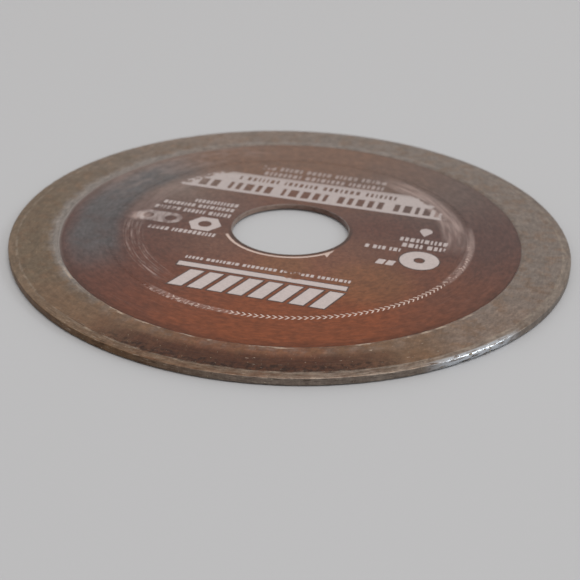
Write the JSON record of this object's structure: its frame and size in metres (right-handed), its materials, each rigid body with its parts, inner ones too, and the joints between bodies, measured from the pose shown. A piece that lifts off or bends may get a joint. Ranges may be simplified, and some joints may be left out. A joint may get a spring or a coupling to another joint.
{
  "type": "diamond blade",
  "caption": "Flat round cutting blade: a lacquered, printed steel core with a plain bore and a wide unbroken diamond rim for wet cutting of glass and mosaic.",
  "frame": {"origin": "centre of the arbor bore, on the mid-plane of the steel core", "axes": "+Z along the bore axis, out of the printed face; +Y towards the top of the printed label"},
  "size_m": [0.105, 0.105, 0.0016],
  "materials": {
    "core_steel": "satin",
    "sintered_bond": "matte",
    "diamond_grit": "gloss",
    "copper_lacquer": "satin",
    "print_ink": "satin",
    "dark_keyline_ink": "satin"
  },
  "bodies": {
    "root": {"steel_core": "core_steel", "sintered_rim": "sintered_bond", "cutting_edge_diamonds": "diamond_grit", "front_face_diamonds": "diamond_grit", "rear_face_diamonds": "diamond_grit", "front_lacquer": "copper_lacquer", "rear_lacquer": "copper_lacquer", "print_chevron_ring": "print_ink", "print_rotation_arrow": "print_ink", "print_title_stripes": "print_ink", "print_title_underline": "print_ink", "print_tagline_bars": "print_ink", "print_size_symbol": "print_ink", "print_use_lines": "print_ink", "print_water_drop": "print_ink", "print_speed_lines": "print_ink", "print_badges": "print_ink", "print_material_band": "print_ink", "print_caption_lines": "print_ink", "print_keylines": "dark_keyline_ink"}
  },
  "joints": []
}
